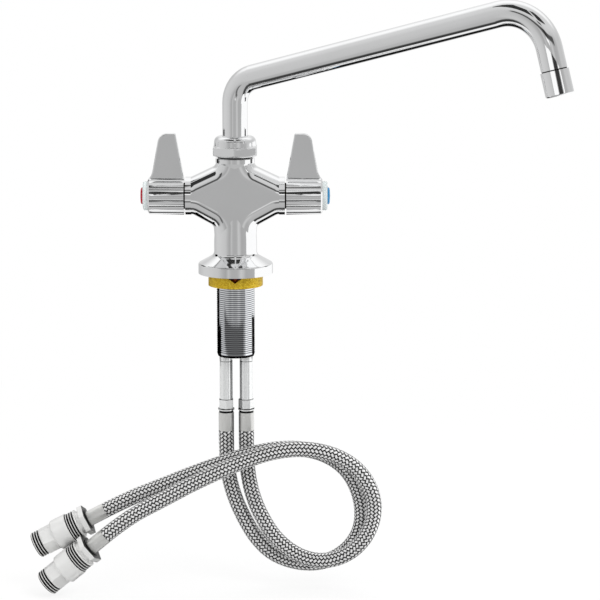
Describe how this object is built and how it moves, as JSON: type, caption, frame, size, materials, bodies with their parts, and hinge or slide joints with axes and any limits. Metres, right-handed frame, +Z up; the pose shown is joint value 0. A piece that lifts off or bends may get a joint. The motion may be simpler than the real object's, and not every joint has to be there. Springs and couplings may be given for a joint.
{
  "type": "deck-mount faucet",
  "caption": "Deck-mount mixing faucet with a cross-shaped body, lever handles, a swing spout, a threaded shank with its lock nut, and braided supply hoses.",
  "frame": {"origin": "centre of the flange's underside, on the plane of the deck", "axes": "+Z runs up the body, +X to the cold handle, -Y towards the user"},
  "size_m": [0.4664, 0.1856, 0.5339],
  "materials": {
    "chrome_body": "polished chrome plate",
    "chrome_nut": "polished chrome plate",
    "chrome_spout": "polished chrome plate",
    "chrome_handle": "polished chrome plate",
    "shank_plating": "bright plated screw thread",
    "locknut_brass": "bare brass, satin",
    "inner_brass": "machined brass",
    "black_rubber": "moulded rubber, matt",
    "white_acetal": "moulded acetal",
    "fine_steel": "stainless steel",
    "ceramic": "lapped ceramic",
    "cap_plastic": "translucent pale plastic",
    "dot_red": "glossy red",
    "dot_blue": "glossy blue",
    "stem_steel": "bright stainless tube",
    "ferrule_steel": "satin stainless sleeve",
    "braid": "stainless wire braid over a rubber tube",
    "connector_plating": "satin nickel plate"
  },
  "bodies": {
    "body": {"body_casting": "chrome_body", "base_gasket": "black_rubber", "mounting_shank": "shank_plating", "mounting_locknut": "locknut_brass", "swivel_nut": "chrome_nut", "spout_thrust_washer": "white_acetal", "hot_cartridge_body": "inner_brass", "hot_seat_seal": "black_rubber", "hot_disc_fixed": "ceramic", "hot_hose_stem": "stem_steel", "hot_inlet_oring": "black_rubber", "hot_stem_collar": "stem_steel", "hot_upper_ferrule": "ferrule_steel", "hot_hose": "braid", "hot_lower_ferrule": "ferrule_steel", "hot_end_fitting": "connector_plating", "hot_adapter": "connector_plating", "hot_adapter_washer": "black_rubber", "cold_cartridge_body": "inner_brass", "cold_seat_seal": "black_rubber", "cold_disc_fixed": "ceramic", "cold_hose_stem": "stem_steel", "cold_inlet_oring": "black_rubber", "cold_stem_collar": "stem_steel", "cold_upper_ferrule": "ferrule_steel", "cold_hose": "braid", "cold_lower_ferrule": "ferrule_steel", "cold_end_fitting": "connector_plating", "cold_adapter": "connector_plating", "cold_adapter_washer": "black_rubber"},
    "spout": {"spout_tube": "chrome_spout", "spout_sleeve": "inner_brass", "spout_orings": "black_rubber", "aerator_housing": "chrome_spout", "aerator_gasket": "black_rubber", "aerator_screen": "fine_steel", "aerator_insert": "white_acetal"},
    "hot_lever": {"hot_handle": "chrome_handle", "hot_handle_screw": "fine_steel", "hot_index_cap": "cap_plastic", "hot_index_dot": "dot_red", "hot_stem": "inner_brass", "hot_disc_turning": "ceramic", "hot_stem_oring": "black_rubber"},
    "cold_lever": {"cold_handle": "chrome_handle", "cold_handle_screw": "fine_steel", "cold_index_cap": "cap_plastic", "cold_index_dot": "dot_blue", "cold_stem": "inner_brass", "cold_disc_turning": "ceramic", "cold_stem_oring": "black_rubber"}
  },
  "joints": [
    {"name": "spout_swivel", "type": "hinge", "parent": "body", "child": "spout", "pos_m": [0, 0, 0.12], "axis": [0, 0, 1], "continuous": true},
    {"name": "hot_handle", "type": "hinge", "parent": "body", "child": "hot_lever", "pos_m": [-0.0617, 0, 0.0687], "axis": [1, 0, 0], "range_deg": [0, 90]},
    {"name": "cold_handle", "type": "hinge", "parent": "body", "child": "cold_lever", "pos_m": [0.0617, 0, 0.0687], "axis": [1, 0, 0], "range_deg": [0, 90]}
  ]
}
